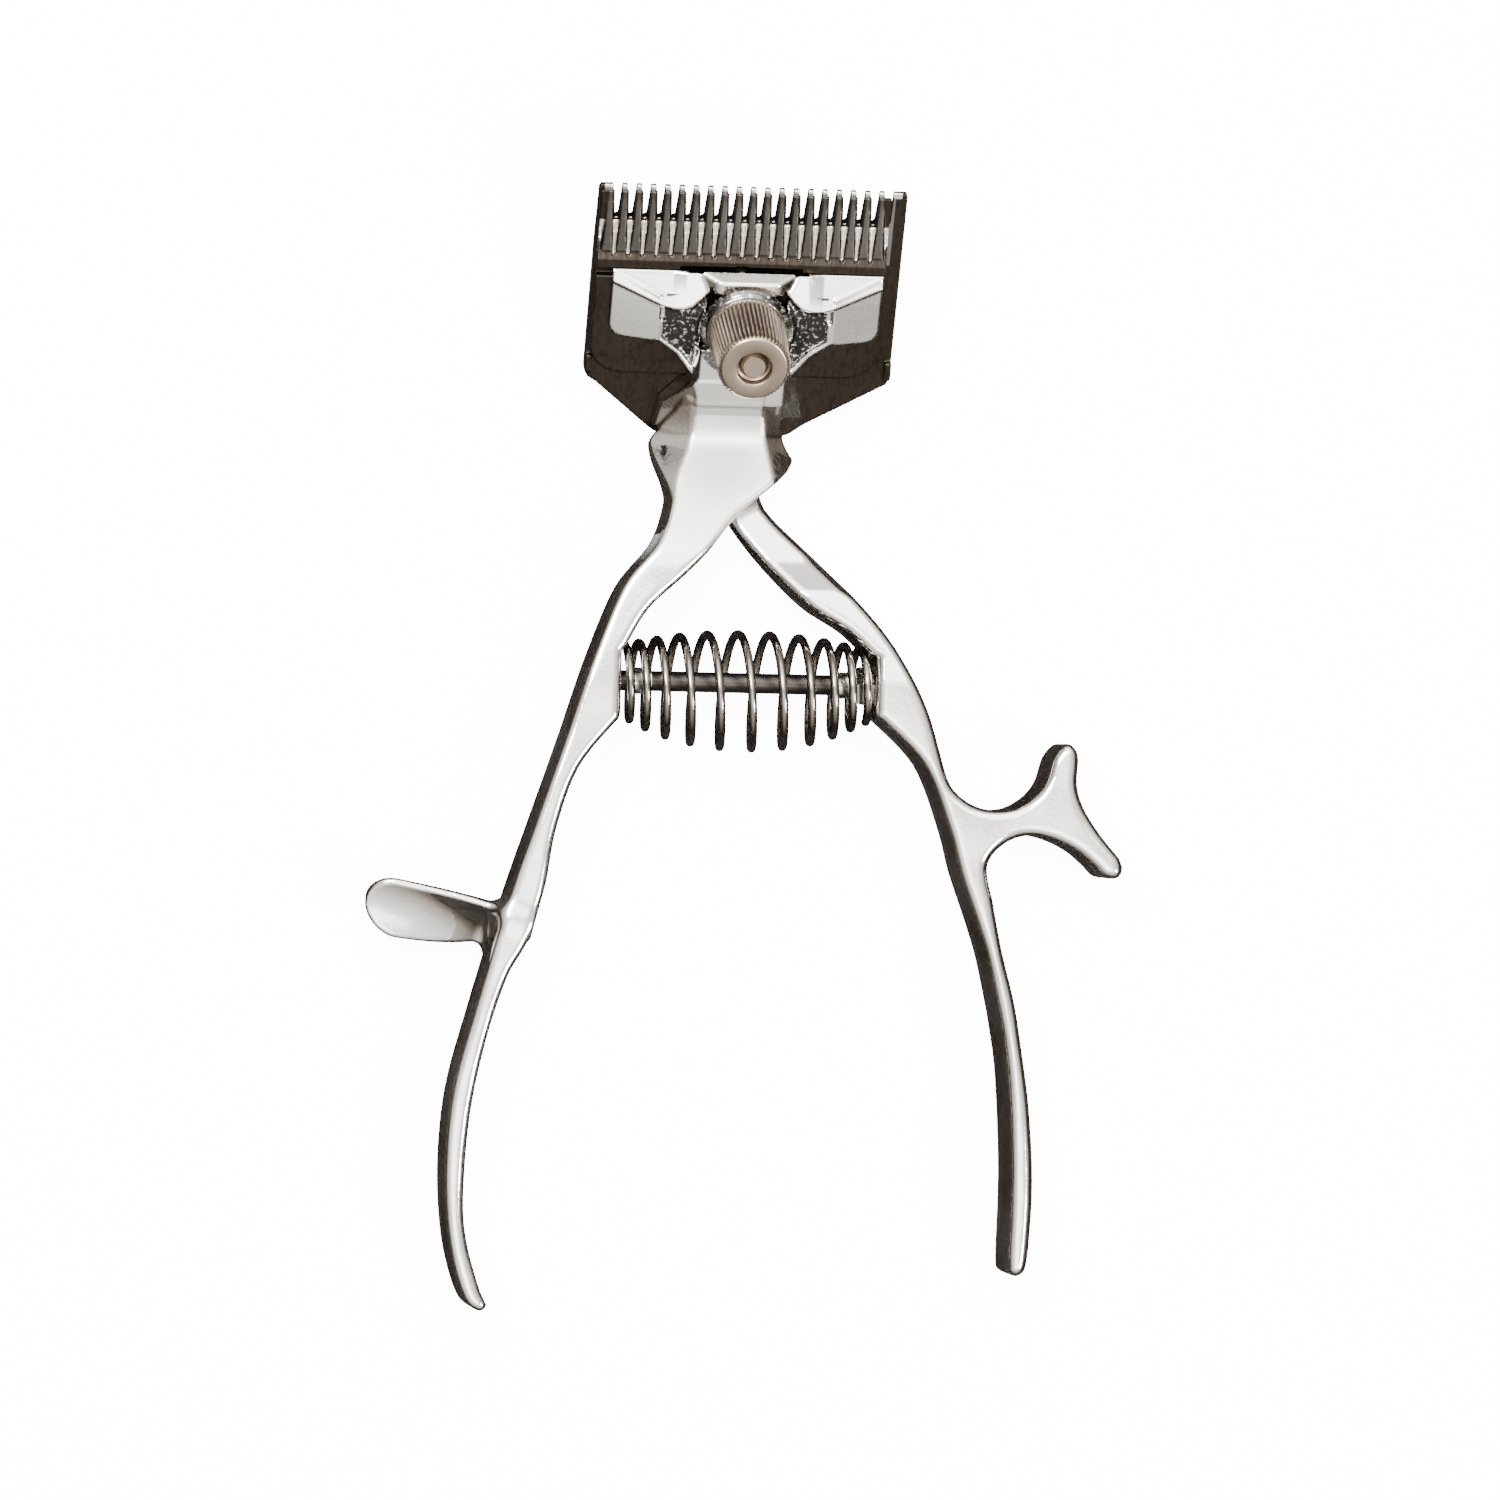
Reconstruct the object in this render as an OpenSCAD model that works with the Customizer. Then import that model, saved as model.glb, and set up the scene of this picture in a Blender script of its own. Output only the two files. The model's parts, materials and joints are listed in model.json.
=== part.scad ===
// Hand clipper: two squeezed handles drive a toothed cutter across a toothed comb plate.
// +Z is the table normal, +Y points towards the teeth and +X to the moving handle.
// The clipper lies on the heel of its comb plate and on its two handle tips at z = 0.
// The head is designed flat in its own frame (comb underside at z = 0, stud along z) and tilted into place.

/* [Placement] */
// Offset of the stud from the middle of the width; the finger rest reaches further out than the thumb rest
pivot_x = -2.4; // [-2.6:0.1:-2.2]
// Tilt of the comb plate and head about X, in degrees, teeth up
head_tilt = 29.3; // [28:0.1:30]
// Distance of the stud's foot in front of the middle of the length
pivot_y = 64.8; // [64:0.1:65.6]
// Height of the stud's foot on the comb's underside above the table
pivot_z = 9.6; // [9.5:0.1:9.7]

/* [Teeth] */
// Distance from one tooth to the next
tooth_pitch = 2.1; // [2:0.05:2.2]
// Teeth of the comb plate, with the two wide end teeth
comb_teeth = 21; // [21:2:21]
// Width of a comb tooth at its tip
comb_tip_w = 0.8; // [0.6:0.05:1]
// Width of a comb tooth at its root
comb_root_w = 1.3; // [1.1:0.05:1.4]
// Depth of the gaps between comb teeth
comb_gap_depth = 5.1; // [4.5:0.1:6]
// Width of a cutter tooth at its tip
cutter_tip_w = 1.1; // [0.9:0.05:1.2]
// Width of a cutter tooth at its root
cutter_root_w = 1.65; // [1.5:0.05:1.75]

/* [Comb plate] */
// Width of the comb plate
comb_w = 45.4; // [45:0.1:46]
// Thickness of the comb plate
comb_t = 2.4; // [2.2:0.1:2.5]
// Reach of the comb's tips in front of the stud
comb_front = 20.7; // [20:0.1:21]
// Reach of the comb's heel behind the stud
comb_heel = 19.6; // [19.2:0.1:19.6]
// Height of the rear ledges above the comb's top
ledge_h = 0.7; // [0.4:0.1:0.9]

/* [Cutter] */
// Height of the toothed bar's top above the comb's underside
bar_top = 3.8; // [3.7:0.05:3.9]
// Height of the groove's floor above the comb's underside
groove_floor = 3.1; // [3:0.05:3.2]
// Height of the cutter body's top above the comb's underside
cutter_top = 4.4; // [4.2:0.05:4.45]
// Gap between two flat faces that slide on each other
slide_gap = 0.05; // [0.02:0.01:0.08]

/* [Drive] */
// Distance from the stud to the drive pin
drive_radius = 8; // [7.8:0.1:8]
// Radius of the drive pin
drive_pin_r = 0.7; // [0.6:0.05:0.8]
// Radial clearance of pins, bushes and screws in their holes
fit_gap = 0.05; // [0.03:0.01:0.08]

/* [Stud and nut] */
// Radius of the stud
stud_r = 2; // [1.9:0.05:2]
// Outer radius of the pivot bush
bush_r = 3.2; // [3:0.05:3.3]
// Height of the cap's top above the comb's underside
cap_top = 8; // [7.9:0.1:8.1]
// Radius of the thumb nut at its base
nut_base_r = 5.8; // [5.6:0.1:6]
// Radius of the thumb nut at its top
nut_top_r = 5.3; // [5:0.1:5.5]
// Length of the thumb nut
nut_h = 11.3; // [11:0.1:11.6]

/* [Handles] */
// Height of the handles' top edge at the tips
tip_top = 12.4; // [12:0.1:12.8]
// Height of the handles' top edge at the neck
neck_top = 15.8; // [15.6:0.1:16]
// Thickness of the thumb rest's blade
thumb_t = 1.8; // [1.5:0.1:2.2]

/* [Return spring] */
// Height of the spring's axis above the table
spring_z = 9.9; // [9.8:0.1:10.1]
// Place of the spring's axis along Y
spring_y = 9.8; // [9.6:0.1:10]
// Wire radius of the return spring
wire_r = 0.65; // [0.55:0.05:0.7]
// Turns of the return spring
spring_turns = 10.5; // [9.5:1:11.5]
// Radius of the guide rod
rod_r = 1.5; // [1.3:0.05:1.5]

/* [Hidden] */
$fn = 48;

chrome = "gainsboro";
dark_steel = "dimgray";
nickel = "darkkhaki";

// The stroke is one pitch, so the cutter's teeth cover comb teeth at both ends of it.
rest_shift = -tooth_pitch / 2;
drive_angle = asin(tooth_pitch / 2 / drive_radius);

// Layers above the cutter, measured from the comb's underside.
arm_bottom = cutter_top + 0.2;
arm_top = arm_bottom + 1.8;
nose_top = arm_bottom + 0.9;
roof_bottom = arm_top + 0.2;
washer_t = 0.5;
nut_base = cap_top + 0.3;
cutter_reach = comb_front - 0.7;
slot_root = 10;
bar_back = 8.8;
groove_back = 6.9;
cutter_rear = -8.8;
screw_places = [[-10, -15.4], [8.6, -14.8]];
screw_r = 1;

// The seats' centres, and the rod's and sleeve's swivel centres on the spring's axis.
seat_left_x = -17;
seat_right_x = 20.6;
swivel_x = 19.4;
trunnion_r = 1.9;
trunnion_h = 4.8;
spot_face_r = 6.5;
sleeve_r = 1.95;
sleeve_mouth_x = 15.6;
rod_tip_x = 16.8;

// Points of a smooth closed line through hand-placed corners.
function spline_point(a, b, c, d, t) =
    0.5 * (2 * b + (c - a) * t + (2 * a - 5 * b + 4 * c - d) * t * t
    + (3 * b - a - 3 * c + d) * t * t * t);
function smooth_open(p, steps = 4) = [
    for (i = [0 : len(p) - 2], k = [0 : steps - 1])
        spline_point(p[max(i - 1, 0)], p[i], p[i + 1], p[min(i + 2, len(p) - 1)], k / steps),
    p[len(p) - 1]
];
function without_last(p) = [for (i = [0 : len(p) - 2]) p[i]];

// A wire of radius r along the points of a coil, closed at both ends; axis is the coil's axis.
function unit(v) = v / norm(v);
function wire_ring(p, along, r, sides, axis) =
    let (side = unit(cross(along, axis)), up = cross(side, along))
    [for (k = [0 : sides - 1]) p + r * (cos(360 * k / sides) * side + sin(360 * k / sides) * up)];
module wire(path, r, sides, axis) {
    last = len(path) - 1;
    skin([
        for (i = [0 : last])
            wire_ring(path[i], unit(path[min(i + 1, last)] - path[max(i - 1, 0)]), r, sides, axis)
    ], sides);
}
module skin(rings, sides) {
    last = len(rings) - 1;
    polyhedron(
        points = [for (ring = rings, p = ring) p],
        faces = concat(
            [[for (k = [sides - 1 : -1 : 0]) k]],
            [[for (k = [0 : sides - 1]) last * sides + k]],
            [
                for (i = [0 : last - 1], k = [0 : sides - 1])
                    [i * sides + k, (i + 1) * sides + (k + 1) % sides, (i + 1) * sides + k],
                for (i = [0 : last - 1], k = [0 : sides - 1])
                    [i * sides + k, i * sides + (k + 1) % sides, (i + 1) * sides + (k + 1) % sides]
            ]
        ),
        convexity = 10
    );
}

// The head's own frame, and the frame of the handles, whose plans count X from the stud.
module head_frame() translate([pivot_x, pivot_y, pivot_z]) rotate([head_tilt, 0, 0]) children();
module handle_frame() translate([pivot_x, 0, 0]) children();

// A solid that is the extruded side outline, drawn as [y, z] points.
module side_profile(points, width = 130)
    rotate([90, 0, 90]) linear_extrude(width, center = true) polygon(points);

/* Handles */

// The fixed handle seen from above: outer edge from the neck to the tip, then the inner edge back.
fixed_outer = smooth_open([
    [-8, 52], [-9.5, 49.5], [-12.5, 46], [-12.4, 43], [-10.6, 38.3], [-10.4, 35.5], [-12.3, 30], [-17.2, 23.6],
    [-21.4, 13.1], [-25.1, 1.4], [-29.4, -11.7], [-32.8, -22.2], [-37.4, -38.6], [-40.4, -50.8],
    [-41.2, -62.4], [-40.3, -73], [-38, -80.8], [-35.6, -83], [-34.3, -82.2]
]);
fixed_inner_lower = smooth_open([
    [-35.4, -80], [-37.5, -73], [-38.2, -66], [-37.5, -54], [-35.4, -43], [-32.6, -34], [-29.8, -28.7],
    [-27.4, -20.7], [-26, -12.3], [-22.9, -3.1], [-17.2, 4.2]
]);
fixed_inner_upper = smooth_open([
    [-16.4, 14.8], [-13.2, 20.3], [-8.3, 25], [-4.7, 28.7], [-0.1, 34.4], [5.2, 38.8], [7.6, 41]
]);
fixed_outline = concat(fixed_outer, fixed_inner_lower, [[seat_left_x, 5], [seat_left_x, 14]],
    fixed_inner_upper, [[10.2, 44.4], [9.1, 48.6], [7, 52]]);

// Side outlines of the handles: top edge from the tips to the neck, then the bottom edge back.
fixed_top = [[-84, tip_top], [-40, 14.2], [10, 15.6], [38.7, neck_top], [46.3, 8.4], [52, 11.6]];
fixed_bottom = [[52, 8.8], [46.2, 4.2], [42, 3.4], [30, 4.2], [10, 3.6], [-40, 1.4], [-84, 0]];

// The moving handle seen from above, from its crossing under the neck to the tip and back.
moving_outer = smooth_open([
    [3.2, 46], [3.4, 41], [3.8, 37.5], [5.4, 34.3], [12.1, 27.8], [20.4, 19.3], [25, 13], [28.6, 6], [31.6, -3.4], [33.4, -6]
]);
finger_rest = concat(
    smooth_open([[33.4, -6], [35.4, -7.3], [38.1, -8], [41.5, -7.7], [44.4, -6], [46.2, -3.6], [47.3, 0],
        [49.3, 2], [51, 0.4], [51, -4], [52, -7.3], [54.4, -11], [57.6, -14.7]]),
    [[58.2, -16.6], [56.8, -17.8]],
    smooth_open([[55.2, -17.4], [53.6, -15.9], [51.1, -13.9], [47.9, -12.4], [44.6, -11.7], [41.8, -12.2],
        [39.3, -13.9], [38, -16], [38.1, -18.4], [38.8, -21]])
);
moving_lower = smooth_open([
    [38.8, -21], [40.5, -28.9], [42.5, -36.3], [43.9, -43.8], [45.1, -51.3], [45.9, -60], [46, -67],
    [45.5, -74.8], [44.4, -76.6], [43.1, -76.4], [42.5, -74.6], [42.6, -65], [42.3, -56], [41.2, -43.9],
    [38.5, -31.3], [36.4, -24.7], [33.8, -17.7], [31.7, -10.6], [27.9, -1.7], [21.6, 4.6]
]);
moving_inner = smooth_open([[20.2, 14], [16.3, 17.6], [10.2, 21.4], [3.5, 27.9], [-1.2, 34], [-2.7, 38], [-3, 42], [-3, 46]]);
moving_outline = concat(without_last(moving_outer), without_last(finger_rest), moving_lower,
    [[seat_right_x, 5.2], [seat_right_x, 14]], moving_inner);
moving_top = [[-78, tip_top], [-40, 14.2], [10, 15.6], [24, 15.2], [29, 12.3], [36.6, 11.4], [42.8, 5.5], [46, 5.5]];
moving_bottom = [[46, 4.1], [43.6, 3.8], [38, 4.6], [30, 4.6], [10, 4.2], [-40, 1.4], [-78, 0]];

module handle_blank(outline, top, bottom) intersection() {
    translate([0, 0, -1]) linear_extrude(20) polygon(outline);
    side_profile(concat(top, bottom));
}

// The blade of the thumb rest, which twists from upright at the handle to nearly flat at its round end.
thumb_root_x = -29.4;
thumb_end_x = -53.4;
thumb_half_w = 4.7;
thumb_rings = 16;
function thumb_ring(t) =
    let (x = thumb_root_x + (thumb_end_x - thumb_root_x) * t, y = -25.6 + 2.3 * t * t, z = 7.8 + 1.4 * t,
         turn = 18 + 67 * pow(1 - t, 2), half = thumb_half_w * sqrt(1 - pow(max(0, (t - 0.82) / 0.2), 2)))
    [for (k = [0 : 15])
        let (a = 22.5 * k, w = half * cos(a), h = thumb_t / 2 * sin(a))
        [x, y + w * cos(turn) - h * sin(turn), z + w * sin(turn) + h * cos(turn)]];
module thumb_rest() skin([for (i = [0 : thumb_rings]) thumb_ring(i / thumb_rings)], 16);

// The cap over the cutter: a hub with a roof and two wings with flat pads.
module cap_layer(points, z) translate([0, 0, z]) linear_extrude(0.02) polygon(points);
module cap_wing(side) hull() {
    cap_layer([for (p = [[6, 8], [20, 8], [20, -1], [18.6, -2.2], [12.8, -2.4], [6, -4]]) [side * p[0], p[1]]],
        cutter_top + 0.12);
    cap_layer([for (p = [[12.8, 3.4], [19.6, 7.4], [19.6, -0.9], [18.4, -2], [13.4, -2.2]]) [side * p[0], p[1]]],
        6.4);
}
// The wings' front lips, which reach down into the cutter's groove.
lip_x = 14.7;
lip_y = 7.55;
lip_w = 10;
lip_t = 0.9;
lip_h = 1.4;
module cap_hub() hull() {
    cap_layer([[-10, 8], [10, 8], [11.5, 0], [7, -11], [-7, -11], [-11.5, 0]], cutter_top + 0.12);
    cap_layer([[-5, 6.8], [5, 6.8], [9, 3.4], [9.4, 0], [6.6, -11], [-6.6, -11], [-9.4, 0], [-9, 3.4]],
        cap_top - 0.02);
}
// Room for the moving handle's shank, which swings about the stud.
module shank_channel() {
    translate([0, 0, arm_bottom - 0.15])
        linear_extrude(roof_bottom - arm_bottom + 0.15) polygon(channel_plan);
}
channel_plan = [[-5.6, 7.2], [5.6, 7.2], [7.6, 0], [6, -9], [6.4, -21], [-9, -21], [-7, -9], [-7.6, 0]];

module fixed_handle() color(chrome) difference() {
    union() {
        handle_frame() {
            handle_blank(fixed_outline, fixed_top, fixed_bottom);
            thumb_rest();
        }
        head_frame() {
            cap_wing(-1);
            cap_wing(1);
            cap_hub();
            translate([0, 0, comb_t]) linear_extrude(cap_top - comb_t)
                polygon([[-6.8, -9], [6.8, -9], [9.6, -13.4], [10.4, -17.4], [-12.2, -17.4], [-11.4, -13]]);
            for (side = [-1, 1]) translate([side * lip_x, lip_y, groove_floor + 0.15])
                linear_extrude(lip_h) square([lip_w, lip_t], center = true);
        }
    }
    handle_frame() neck_passage();
    head_frame() {
        shank_channel();
        translate([0, 0, -1]) cylinder(r = stud_r + fit_gap, h = 12);
        translate([0, 7.6, arm_bottom - 0.15]) cube([17, 4, 2.4], center = true);
        for (p = screw_places)
            translate([p[0], p[1], comb_t - 1]) cylinder(r = screw_r + fit_gap, h = 4);
    }
    handle_frame() {
        at_swivel(-swivel_x) {
            cylinder(r = trunnion_r + fit_gap, h = trunnion_h + 2 * fit_gap, center = true);
            linear_extrude(2 * rod_r + 0.4, center = true)
                polygon([[0, -1.75], [8, -2.8], [8, 2.8], [0, 1.75]]);
        }
        spring_axis(seat_left_x) cylinder(r = spot_face_r, h = 8);
    }
}

// A place on the spring's axis: turned into the head's tilt for the swivels, or along +X for round parts.
module at_swivel(x) translate([x, spring_y, spring_z]) rotate([head_tilt, 0, 0]) children();
module spring_axis(x) translate([x, spring_y, spring_z]) rotate([0, 90, 0]) children();

// The open underside of the neck, where the moving handle crosses.
module neck_passage() intersection() {
    translate([0, 0, -1]) linear_extrude(20)
        polygon([[-8.4, 49], [-9.6, 40.5], [-10, 36], [-10.2, 33], [-12, 28.4], [12, 20], [14, 49], [6.6, 49]]);
    side_profile([[24, -1], [24, 13], [38.2, 13.2], [44.9, 6.6], [46.4, 6.2], [49.5, 7.9], [49, -1]]);
}

module moving_handle() color(chrome) difference() {
    union() {
        handle_frame() handle_blank(moving_outline, moving_top, moving_bottom);
        head_frame() translate([0, 0, arm_bottom]) {
            linear_extrude(arm_top - arm_bottom) moving_head_plan();
            linear_extrude(nose_top - arm_bottom) rotate(drive_angle) {
                polygon([[-2.6, 3], [2.6, 3], [0.8, drive_radius], [-0.8, drive_radius]]);
                translate([0, drive_radius]) circle(r = drive_pin_r + 0.25);
            }
        }
    }
    head_frame() {
        translate([0, 0, arm_bottom - 1]) cylinder(r = bush_r + fit_gap, h = 4);
        rotate([0, 0, drive_angle]) translate([0, drive_radius, arm_bottom - 1])
            cylinder(r = drive_pin_r, h = 4);
    }
    handle_frame() {
        at_swivel(swivel_x)
            cylinder(r = trunnion_r + fit_gap, h = trunnion_h + 2 * fit_gap, center = true);
        spring_axis(swivel_x) cylinder(r1 = 1.8, r2 = 3.2, h = 10);
        spring_axis(seat_right_x - 8) cylinder(r = spot_face_r, h = 8);
    }
}

// Boss round the bush and the shank behind it; the thinner driving arm in front of it slides under the cap.
module moving_head_plan() {
    circle(r = 5.2);
    polygon([[-2.9, -3], [2.9, -3], [2.7, -20], [-2.7, -20]]);
}

/* Cutting head */

module comb_gap(i) {
    tip = (tooth_pitch - comb_tip_w) / 2;
    root = (tooth_pitch - comb_root_w) / 2;
    translate([(i - (comb_teeth - 2) / 2) * tooth_pitch, comb_front]) {
        polygon([[-tip, 0.1], [tip, 0.1], [root, root - comb_gap_depth], [-root, root - comb_gap_depth]]);
        translate([0, root - comb_gap_depth]) circle(r = root, $fn = 16);
    }
}

comb_half = comb_w / 2;
comb_side = [
    [-comb_heel, 0], [11, 0], [comb_front, 1.5], [comb_front, comb_t], [-comb_heel, comb_t]
];

module comb_plate() color(dark_steel) head_frame() difference() {
    union() {
        intersection() {
            linear_extrude(comb_t) difference() {
                polygon([[-comb_half, comb_front], [comb_half, comb_front], [comb_half, -9.4],
                    [comb_half - 2, -11.2], [10.6, -17.6], [8, -comb_heel], [-10.6, -comb_heel],
                    [-12.6, -18.6], [2 - comb_half, -11.2], [-comb_half, -9.4]]);
                for (i = [0 : comb_teeth - 2]) comb_gap(i);
            }
            side_profile(comb_side);
        }
        for (side = [-1, 1])
            translate([side * (comb_half + 21.6) / 2, -8.2, comb_t + ledge_h / 2 - 0.1])
                cube([comb_half - 21.6, 3, ledge_h + 0.2], center = true);
    }
    translate([0, 0, -1]) {
        cylinder(r = stud_r + fit_gap, h = 5);
        for (p = screw_places) translate([p[0], p[1], 0]) cylinder(r = screw_r + fit_gap, h = 5);
    }
    translate([0, 0, -0.01]) cylinder(r = 4.1, h = 1.01);
    for (p = screw_places)
        translate([p[0], p[1], -0.01]) cylinder(r1 = 2.1, r2 = screw_r + fit_gap, h = 1.2);
}

cutter_count = comb_teeth - 1;
cutter_half = cutter_count * tooth_pitch / 2 + 0.3;

module cutter_slot(i) {
    tip = (tooth_pitch - cutter_tip_w) / 2;
    root = (tooth_pitch - cutter_root_w) / 2;
    translate([(i - (cutter_count - 2) / 2) * tooth_pitch, 0]) {
        polygon([[-tip, cutter_reach + 0.1], [tip, cutter_reach + 0.1], [root, 15.5], [root, slot_root],
            [-root, slot_root], [-root, 15.5]]);
        translate([0, slot_root]) circle(r = root, $fn = 16);
    }
}

module cutter_plate() color(dark_steel) head_frame() translate([rest_shift, 0, 0]) difference() {
    intersection() {
        translate([0, 0, comb_t + slide_gap]) linear_extrude(3) difference() {
            polygon([[-cutter_half, cutter_reach], [cutter_half, cutter_reach], [cutter_half, -4.9],
                [cutter_half - 1, -6.7], [cutter_half - 3, cutter_rear], [3 - cutter_half, cutter_rear],
                [1 - cutter_half, -6.7], [-cutter_half, -4.9]]);
            for (i = [0 : cutter_count - 2]) cutter_slot(i);
            square([2 * stud_r + 3.6, 2 * stud_r + 1], center = true);
            translate([0, drive_radius - 0.1])
                square([2 * (drive_pin_r + fit_gap), 2 * drive_pin_r + 0.7], center = true);
        }
        side_profile([
            [cutter_rear - 1, comb_t], [cutter_reach + 1, comb_t], [cutter_reach + 1, comb_t + 0.5],
            [11, bar_top], [bar_back, bar_top], [bar_back, groove_floor], [groove_back, groove_floor],
            [groove_back, cutter_top], [cutter_rear - 1, cutter_top]
        ]);
    }
}

/* Pivot, screws and adjusting nut */

module centre_stud() color(nickel) head_frame() {
    translate([0, 0, 0.02]) cylinder(r = 4, h = 0.96);
    translate([0, 0, 0.5]) cylinder(r = stud_r, h = nut_base + nut_h - 1 - 0.5);
    translate([0, 0, nut_base + nut_h - 1]) cylinder(r1 = stud_r, r2 = stud_r - 0.4, h = 0.5);
}

module pivot_bush() color(nickel) head_frame() translate([0, 0, cutter_top + 0.05]) difference() {
    cylinder(r = bush_r, h = roof_bottom - cutter_top - 0.1);
    translate([0, 0, -1]) cylinder(r = stud_r + fit_gap, h = 5);
}

module heel_screw(place) color(dark_steel) head_frame() translate([place[0], place[1], 0.02]) difference() {
    union() {
        cylinder(r1 = 2, r2 = screw_r, h = 1);
        cylinder(r = screw_r, h = 4.2);
    }
    cube([0.5, 5, 0.9], center = true);
}

module drive_pin() color(dark_steel) head_frame() rotate([0, 0, drive_angle])
    translate([0, drive_radius, comb_t + 0.2]) cylinder(r = drive_pin_r, h = nose_top - 0.1 - comb_t - 0.2);

module washer(z, outer) translate([0, 0, z]) difference() {
    cylinder(r = outer, h = washer_t);
    translate([0, 0, -1]) cylinder(r = stud_r + 0.1, h = 3);
}

cavity_r = 4.5;
cavity_h = 6.4;
thrust_z = nut_base + cavity_h - washer_t - 0.02;
module seat_washer() color(nickel) head_frame() washer(cap_top, 4.2);
module thrust_washer() color(nickel) head_frame() washer(thrust_z, 4.2);

tension_r = 3.3;
tension_wire = 0.45;
module tension_spring() color(dark_steel) head_frame() {
    low = cap_top + washer_t + tension_wire + 0.02;
    high = thrust_z - tension_wire - 0.02;
    wire([
        for (i = [0 : 80])
            let (a = 18 * i) [tension_r * cos(a), tension_r * sin(a), low + (high - low) * i / 80]
    ], tension_wire, 6, [0, 0, 1]);
}

module thumb_nut() color(nickel) head_frame() translate([0, 0, nut_base]) difference() {
    union() {
        cylinder(r = nut_base_r, h = 0.4);
        translate([0, 0, 0.4]) cylinder(r1 = nut_base_r - 0.05, r2 = nut_top_r, h = nut_h - 1);
        translate([0, 0, nut_h - 0.6]) cylinder(r1 = nut_top_r, r2 = nut_top_r - 0.6, h = 0.6);
    }
    translate([0, 0, -0.01]) cylinder(r = cavity_r, h = cavity_h + 0.01);
    translate([0, 0, -1]) cylinder(r = stud_r + fit_gap, h = 20);
    translate([0, 0, nut_h - 1.3]) cylinder(r = 2.55, h = 2);
}

/* Return spring and its guide */

spring_ends = [seat_left_x + wire_r + 0.1, seat_right_x - wire_r - 0.1];
function barrel_r(t) = 5.3 + 3.1 * pow(sin(180 * t), 1.3);
function spring_point(t) =
    let (a = 360 * spring_turns * t, squeeze = t - 0.06 * sin(360 * t))
    [spring_ends[0] + (spring_ends[1] - spring_ends[0]) * squeeze,
     spring_y - 1.2 * sin(180 * t) + barrel_r(t) * cos(a), spring_z + barrel_r(t) * sin(a)];
module return_spring() color(dark_steel) handle_frame()
    wire([for (i = [0 : 252]) spring_point(i / 252)], wire_r, 6, [1, 0, 0]);

// The rod and the sleeve each turn in their handle on a trunnion whose axis is parallel to the stud.
module guide_rod() color(dark_steel) handle_frame() {
    at_swivel(-swivel_x) cylinder(r = trunnion_r, h = trunnion_h, center = true);
    spring_axis(-swivel_x) cylinder(r = rod_r, h = swivel_x + rod_tip_x);
}

module rod_ferrule() color(chrome) handle_frame() spring_axis(-14.8) difference() {
    cylinder(r = sleeve_r, h = 2.6);
    translate([0, 0, -1]) cylinder(r = rod_r, h = 5);
}

module guide_sleeve() color(chrome) handle_frame() difference() {
    union() {
        spring_axis(sleeve_mouth_x) cylinder(r = sleeve_r, h = swivel_x - sleeve_mouth_x);
        intersection() {
            at_swivel(swivel_x) cylinder(r = trunnion_r, h = trunnion_h, center = true);
            translate([swivel_x - trunnion_r, 0, 0]) cube([2 * trunnion_r - 0.6, 40, 40]);
        }
    }
    spring_axis(sleeve_mouth_x - 1) cylinder(r = rod_r + fit_gap, h = 10);
}

fixed_handle();
comb_plate();
cutter_plate();
moving_handle();
centre_stud();
pivot_bush();
heel_screw(screw_places[0]);  // heel_screw_left
heel_screw(screw_places[1]);  // heel_screw_right
drive_pin();
seat_washer();
tension_spring();
thrust_washer();
thumb_nut();
return_spring();
guide_rod();
rod_ferrule();
guide_sleeve();
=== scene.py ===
import json
import math

import bpy
import numpy as np
from mathutils import Matrix, Vector


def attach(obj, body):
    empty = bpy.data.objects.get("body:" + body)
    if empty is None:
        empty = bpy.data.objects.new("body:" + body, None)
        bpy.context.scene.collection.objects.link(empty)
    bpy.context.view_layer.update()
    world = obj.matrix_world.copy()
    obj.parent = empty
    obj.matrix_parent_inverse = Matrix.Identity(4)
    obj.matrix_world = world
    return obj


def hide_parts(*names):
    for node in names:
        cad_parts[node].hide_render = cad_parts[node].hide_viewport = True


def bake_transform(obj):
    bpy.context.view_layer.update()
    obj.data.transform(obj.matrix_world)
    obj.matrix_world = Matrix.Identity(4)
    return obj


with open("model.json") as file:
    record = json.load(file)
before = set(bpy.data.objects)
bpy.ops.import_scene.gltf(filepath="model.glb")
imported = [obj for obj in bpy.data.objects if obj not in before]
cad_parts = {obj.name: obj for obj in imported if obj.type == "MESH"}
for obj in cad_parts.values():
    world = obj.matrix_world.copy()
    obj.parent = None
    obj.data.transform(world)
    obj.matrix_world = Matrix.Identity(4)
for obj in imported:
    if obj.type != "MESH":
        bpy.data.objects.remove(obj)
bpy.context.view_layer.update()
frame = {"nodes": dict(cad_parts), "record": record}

MM = 0.001

# Shapes are in millimetres. The handles' plans count X from the stud.
# The head has a frame of its own: hx to the moving handle, hy to the teeth, hz along the stud.
PIVOT = np.array([-2.4, 64.8, 9.6])
TILT = math.radians(29.3)
COS, SIN = math.cos(TILT), math.sin(TILT)
SPRING_Y, SPRING_Z = 9.8, 9.9
SEAT_LEFT, SEAT_RIGHT = -17, 20.6
SWIVEL_X = 19.4
PITCH = 2.1


def from_head(p):
    """Points in the head's frame, placed in the world."""
    p = np.asarray(p, float)
    return np.stack([
        PIVOT[0] + p[..., 0],
        PIVOT[1] + p[..., 1] * COS - p[..., 2] * SIN,
        PIVOT[2] + p[..., 1] * SIN + p[..., 2] * COS,
    ], -1)


def to_head(x, y, z):
    """Plan X, world Y and world Z, turned into the head's frame."""
    return x, (y - PIVOT[1]) * COS + (z - PIVOT[2]) * SIN, (z - PIVOT[2]) * COS - (y - PIVOT[1]) * SIN


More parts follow.
